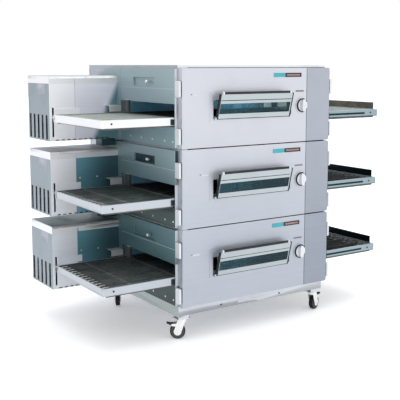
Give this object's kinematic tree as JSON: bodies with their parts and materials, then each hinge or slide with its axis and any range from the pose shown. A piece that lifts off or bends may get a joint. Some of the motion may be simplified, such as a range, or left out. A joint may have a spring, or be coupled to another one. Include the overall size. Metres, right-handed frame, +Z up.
{
  "type": "conveyor pizza oven",
  "caption": "Stacked stainless steel conveyor oven: wire belts run through each deck, with hinged front doors, tilted window hatches, rear-left control boxes and a caster base.",
  "frame": {"origin": "on the floor, under the middle of the whole oven", "axes": "+X along the conveyors to the right, +Y from the front doors to the back, +Z up"},
  "size_m": [2.264, 1.3525, 1.755],
  "materials": {
    "brushed_steel": "brushed stainless steel sheet, fine horizontal grain",
    "bright_steel": "bright satin stainless steel",
    "zinc_plate": "bright zinc plating",
    "oven_lining": "heat-tinted aluminised steel",
    "belt_wire": "baked-on dark stainless wire",
    "window_glass": "heat-resistant glass",
    "black_grip": "black heat-resistant grip",
    "motor_casing": "dark grey casting",
    "tyre_rubber": "black solid rubber",
    "badge_enamel": "two-tone enamelled badge plate with no lettering",
    "label_plate": "plain anodised label plate",
    "pedal_plastic": "black moulded plastic"
  },
  "bodies": {
    "oven_body": {"lower_housing": "brushed_steel", "lower_end_panels": "brushed_steel", "lower_conveyor_frame": "bright_steel", "lower_conveyor_belt": "belt_wire", "lower_control_box": "brushed_steel", "middle_housing": "brushed_steel", "middle_end_panels": "brushed_steel", "middle_conveyor_frame": "bright_steel", "middle_conveyor_belt": "belt_wire", "middle_control_box": "brushed_steel", "upper_housing": "brushed_steel", "upper_end_panels": "brushed_steel", "upper_conveyor_frame": "bright_steel", "upper_conveyor_belt": "belt_wire", "upper_control_box": "brushed_steel", "baking_chambers": "oven_lining", "air_fingers": "oven_lining", "drive_motors": "motor_casing", "panel_fasteners": "zinc_plate", "base_frame": "brushed_steel"},
    "lower_door": {"lower_front_door": "brushed_steel"},
    "lower_window": {"lower_window_frame": "bright_steel", "lower_window_glass": "window_glass", "lower_window_handle": "black_grip"},
    "lower_latch": {"lower_latch_knob": "bright_steel"},
    "lower_drive": {"lower_drive_shaft": "bright_steel"},
    "lower_idler": {"lower_idler_shaft": "bright_steel"},
    "lower_tray_left": {"lower_crumb_tray_left": "bright_steel"},
    "lower_tray_right": {"lower_crumb_tray_right": "bright_steel"},
    "lower_blower": {"lower_blower_wheel": "oven_lining"},
    "middle_door": {"middle_front_door": "brushed_steel"},
    "middle_window": {"middle_window_frame": "bright_steel", "middle_window_glass": "window_glass", "middle_window_handle": "black_grip"},
    "middle_latch": {"middle_latch_knob": "bright_steel"},
    "middle_drive": {"middle_drive_shaft": "bright_steel"},
    "middle_idler": {"middle_idler_shaft": "bright_steel"},
    "middle_tray_left": {"middle_crumb_tray_left": "bright_steel"},
    "middle_tray_right": {"middle_crumb_tray_right": "bright_steel"},
    "middle_blower": {"middle_blower_wheel": "oven_lining"},
    "upper_door": {"upper_front_door": "brushed_steel"},
    "upper_window": {"upper_window_frame": "bright_steel", "upper_window_glass": "window_glass", "upper_window_handle": "black_grip"},
    "upper_latch": {"upper_latch_knob": "bright_steel"},
    "upper_drive": {"upper_drive_shaft": "bright_steel"},
    "upper_idler": {"upper_idler_shaft": "bright_steel"},
    "upper_tray_left": {"upper_crumb_tray_left": "bright_steel"},
    "upper_tray_right": {"upper_crumb_tray_right": "bright_steel"},
    "upper_blower": {"upper_blower_wheel": "oven_lining"},
    "caster_front_left": {"caster_fork_front_left": "zinc_plate"},
    "wheel_front_left": {"caster_wheel_front_left": "tyre_rubber"},
    "pedal_front_left": {"brake_pedal_front_left": "pedal_plastic"},
    "caster_front_right": {"caster_fork_front_right": "zinc_plate"},
    "wheel_front_right": {"caster_wheel_front_right": "tyre_rubber"},
    "pedal_front_right": {"brake_pedal_front_right": "pedal_plastic"},
    "caster_rear_left": {"caster_fork_rear_left": "zinc_plate"},
    "wheel_rear_left": {"caster_wheel_rear_left": "tyre_rubber"},
    "caster_rear_right": {"caster_fork_rear_right": "zinc_plate"},
    "wheel_rear_right": {"caster_wheel_rear_right": "tyre_rubber"}
  },
  "joints": [
    {"name": "lower_door_hinge", "type": "hinge", "parent": "oven_body", "child": "lower_door", "pos_m": [-0.599, -0.60875, 0.475], "axis": [0, 0, -1], "range_deg": [0, 105]},
    {"name": "lower_window_hinge", "type": "hinge", "parent": "lower_door", "child": "lower_window", "pos_m": [-0.059, -0.62325, 0.409], "axis": [1, 0, 0], "range_deg": [0, 78]},
    {"name": "lower_latch_turn", "type": "hinge", "parent": "lower_door", "child": "lower_latch", "pos_m": [0.357, -0.61475, 0.474], "axis": [0, 1, 0], "range_deg": [0, 90]},
    {"name": "lower_drive_spin", "type": "hinge", "parent": "oven_body", "child": "lower_drive", "pos_m": [-1.1065, -0.21475, 0.399], "axis": [0, 1, 0], "continuous": true},
    {"name": "lower_idler_spin", "type": "hinge", "parent": "oven_body", "child": "lower_idler", "pos_m": [1.1065, -0.21475, 0.399], "axis": [0, 1, 0], "continuous": true},
    {"name": "lower_tray_left_slide", "type": "slide", "parent": "oven_body", "child": "lower_tray_left", "axis": [-1, 0, 0], "range_m": [0, 0.25]},
    {"name": "lower_tray_right_slide", "type": "slide", "parent": "oven_body", "child": "lower_tray_right", "axis": [1, 0, 0], "range_m": [0, 0.25]},
    {"name": "lower_blower_spin", "type": "hinge", "parent": "oven_body", "child": "lower_blower", "pos_m": [0, 0.23525, 0.477], "axis": [0, 1, 0], "continuous": true},
    {"name": "middle_door_hinge", "type": "hinge", "parent": "oven_body", "child": "middle_door", "pos_m": [-0.599, -0.60875, 0.98], "axis": [0, 0, -1], "range_deg": [0, 105]},
    {"name": "middle_window_hinge", "type": "hinge", "parent": "middle_door", "child": "middle_window", "pos_m": [-0.059, -0.62325, 0.914], "axis": [1, 0, 0], "range_deg": [0, 78]},
    {"name": "middle_latch_turn", "type": "hinge", "parent": "middle_door", "child": "middle_latch", "pos_m": [0.357, -0.61475, 0.979], "axis": [0, 1, 0], "range_deg": [0, 90]},
    {"name": "middle_drive_spin", "type": "hinge", "parent": "oven_body", "child": "middle_drive", "pos_m": [-1.1065, -0.21475, 0.904], "axis": [0, 1, 0], "continuous": true},
    {"name": "middle_idler_spin", "type": "hinge", "parent": "oven_body", "child": "middle_idler", "pos_m": [1.1065, -0.21475, 0.904], "axis": [0, 1, 0], "continuous": true},
    {"name": "middle_tray_left_slide", "type": "slide", "parent": "oven_body", "child": "middle_tray_left", "axis": [-1, 0, 0], "range_m": [0, 0.25]},
    {"name": "middle_tray_right_slide", "type": "slide", "parent": "oven_body", "child": "middle_tray_right", "axis": [1, 0, 0], "range_m": [0, 0.25]},
    {"name": "middle_blower_spin", "type": "hinge", "parent": "oven_body", "child": "middle_blower", "pos_m": [0, 0.23525, 0.982], "axis": [0, 1, 0], "continuous": true},
    {"name": "upper_door_hinge", "type": "hinge", "parent": "oven_body", "child": "upper_door", "pos_m": [-0.599, -0.60875, 1.485], "axis": [0, 0, -1], "range_deg": [0, 105]},
    {"name": "upper_window_hinge", "type": "hinge", "parent": "upper_door", "child": "upper_window", "pos_m": [-0.059, -0.62325, 1.419], "axis": [1, 0, 0], "range_deg": [0, 78]},
    {"name": "upper_latch_turn", "type": "hinge", "parent": "upper_door", "child": "upper_latch", "pos_m": [0.357, -0.61475, 1.484], "axis": [0, 1, 0], "range_deg": [0, 90]},
    {"name": "upper_drive_spin", "type": "hinge", "parent": "oven_body", "child": "upper_drive", "pos_m": [-1.1065, -0.21475, 1.409], "axis": [0, 1, 0], "continuous": true},
    {"name": "upper_idler_spin", "type": "hinge", "parent": "oven_body", "child": "upper_idler", "pos_m": [1.1065, -0.21475, 1.409], "axis": [0, 1, 0], "continuous": true},
    {"name": "upper_tray_left_slide", "type": "slide", "parent": "oven_body", "child": "upper_tray_left", "axis": [-1, 0, 0], "range_m": [0, 0.25]},
    {"name": "upper_tray_right_slide", "type": "slide", "parent": "oven_body", "child": "upper_tray_right", "axis": [1, 0, 0], "range_m": [0, 0.25]},
    {"name": "upper_blower_spin", "type": "hinge", "parent": "oven_body", "child": "upper_blower", "pos_m": [0, 0.23525, 1.487], "axis": [0, 1, 0], "continuous": true},
    {"name": "front_left_swivel", "type": "hinge", "parent": "oven_body", "child": "caster_front_left", "pos_m": [-0.555, -0.52675, 0.125], "axis": [0, 0, 1], "continuous": true},
    {"name": "front_left_roll", "type": "hinge", "parent": "caster_front_left", "child": "wheel_front_left", "pos_m": [-0.57848, -0.5115, 0.05], "axis": [-0.5446, -0.8387, 0], "continuous": true},
    {"name": "front_left_brake", "type": "hinge", "parent": "caster_front_left", "child": "pedal_front_left", "pos_m": [-0.607, -0.49298, 0.095], "axis": [-0.5446, -0.8387, 0], "range_deg": [-12, 0]},
    {"name": "front_right_swivel", "type": "hinge", "parent": "oven_body", "child": "caster_front_right", "pos_m": [0.555, -0.52675, 0.125], "axis": [0, 0, 1], "continuous": true},
    {"name": "front_right_roll", "type": "hinge", "parent": "caster_front_right", "child": "wheel_front_right", "pos_m": [0.58131, -0.51717, 0.05], "axis": [-0.342, 0.9397, 0], "continuous": true},
    {"name": "front_right_brake", "type": "hinge", "parent": "caster_front_right", "child": "pedal_front_right", "pos_m": [0.61326, -0.50554, 0.095], "axis": [-0.342, 0.9397, 0], "range_deg": [-12, 0]},
    {"name": "rear_left_swivel", "type": "hinge", "parent": "oven_body", "child": "caster_rear_left", "pos_m": [-0.555, 0.36525, 0.125], "axis": [0, 0, 1], "continuous": true},
    {"name": "rear_left_roll", "type": "hinge", "parent": "caster_rear_left", "child": "wheel_rear_left", "pos_m": [-0.56683, 0.33987, 0.05], "axis": [0.9063, -0.4226, 0], "continuous": true},
    {"name": "rear_right_swivel", "type": "hinge", "parent": "oven_body", "child": "caster_rear_right", "pos_m": [0.555, 0.36525, 0.125], "axis": [0, 0, 1], "continuous": true},
    {"name": "rear_right_roll", "type": "hinge", "parent": "caster_rear_right", "child": "wheel_rear_right", "pos_m": [0.58131, 0.37483, 0.05], "axis": [-0.342, 0.9397, 0], "continuous": true}
  ],
  "couplings": [
    {"joint": "lower_idler_spin", "follows": "lower_drive_spin", "ratio": 1},
    {"joint": "middle_idler_spin", "follows": "middle_drive_spin", "ratio": 1},
    {"joint": "upper_idler_spin", "follows": "upper_drive_spin", "ratio": 1}
  ]
}
